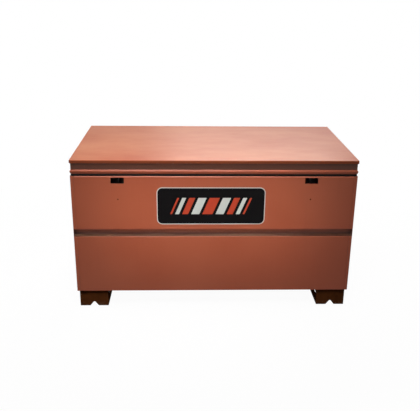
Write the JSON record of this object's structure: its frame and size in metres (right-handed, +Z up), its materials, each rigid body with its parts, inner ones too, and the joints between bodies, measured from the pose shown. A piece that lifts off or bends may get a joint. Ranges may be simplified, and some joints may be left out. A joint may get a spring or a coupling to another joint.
{
  "type": "jobsite storage box",
  "caption": "Folded sheet-steel jobsite chest on pressed skids, with a piano-hinged lid held open by slotted stays, padlock pockets behind front slots and drop handles on the ends.",
  "frame": {"origin": "on the floor, under the middle of the chest", "axes": "+X along the width to the viewer's right of the front, +Y from front to back, +Z up"},
  "size_m": [1.2694, 0.66, 0.686],
  "materials": {
    "brown_paint": "satin powder coat, reddish brown",
    "skid_paint": "satin powder coat, darker brown, scuffed below",
    "seal_rubber": "matt black sponge rubber",
    "zinc_steel": "zinc plated, lightly brushed",
    "grip_rubber": "ribbed black rubber",
    "black_paint": "satin black powder coat"
  },
  "bodies": {
    "chest": {"front_panel": "brown_paint", "back_panel": "brown_paint", "floor_pan": "brown_paint", "rim_seal": "seal_rubber", "lock_pocket_rivets": "black_paint", "hinge_body_leaf": "brown_paint", "hinge_pin": "zinc_steel", "left_end_panel": "brown_paint", "left_end_rim": "brown_paint", "left_skid": "skid_paint", "left_skid_front_plate": "skid_paint", "left_skid_back_plate": "skid_paint", "left_lock_pocket": "black_paint", "left_stay_stud": "zinc_steel", "left_handle_plate": "black_paint", "left_handle_rivets": "zinc_steel", "right_end_panel": "brown_paint", "right_end_rim": "brown_paint", "right_skid": "skid_paint", "right_skid_front_plate": "skid_paint", "right_skid_back_plate": "skid_paint", "right_lock_pocket": "black_paint", "right_stay_stud": "zinc_steel", "right_handle_plate": "black_paint", "right_handle_rivets": "zinc_steel"},
    "lid": {"lid_top": "brown_paint", "lid_front_rim": "brown_paint", "hinge_lid_leaf": "brown_paint", "lid_left_rim": "brown_paint", "lid_left_stiffener": "brown_paint", "left_hasp": "black_paint", "left_stay_bracket": "zinc_steel", "left_stay_pivot": "zinc_steel", "lid_right_rim": "brown_paint", "lid_right_stiffener": "brown_paint", "right_hasp": "black_paint", "right_stay_bracket": "zinc_steel", "right_stay_pivot": "zinc_steel"},
    "left_stay": {"left_stay": "zinc_steel"},
    "left_handle": {"left_handle_bail": "black_paint", "left_handle_grip": "grip_rubber"},
    "right_stay": {"right_stay": "zinc_steel"},
    "right_handle": {"right_handle_bail": "black_paint", "right_handle_grip": "grip_rubber"}
  },
  "joints": [
    {"name": "lid_hinge", "type": "hinge", "parent": "chest", "child": "lid", "pos_m": [0, 0.32545, 0.622], "axis": [-1, 0, 0], "range_deg": [0, 95]},
    {"name": "left_stay_swing", "type": "hinge", "parent": "lid", "child": "left_stay", "pos_m": [-0.5785, 0.13673, 0.644], "axis": [-1, 0, 0], "range_deg": [-47.5, 0]},
    {"name": "left_handle_swing", "type": "hinge", "parent": "chest", "child": "left_handle", "pos_m": [-0.6237, 0, 0.455], "axis": [0, 1, 0], "range_deg": [0, 90]},
    {"name": "right_stay_swing", "type": "hinge", "parent": "lid", "child": "right_stay", "pos_m": [0.5785, 0.13673, 0.644], "axis": [-1, 0, 0], "range_deg": [-47.5, 0]},
    {"name": "right_handle_swing", "type": "hinge", "parent": "chest", "child": "right_handle", "pos_m": [0.6237, 0, 0.455], "axis": [0, -1, 0], "range_deg": [0, 90]}
  ],
  "couplings": [
    {"joint": "left_stay_swing", "follows": "lid_hinge", "ratio": -0.5},
    {"joint": "right_stay_swing", "follows": "lid_hinge", "ratio": -0.5}
  ]
}
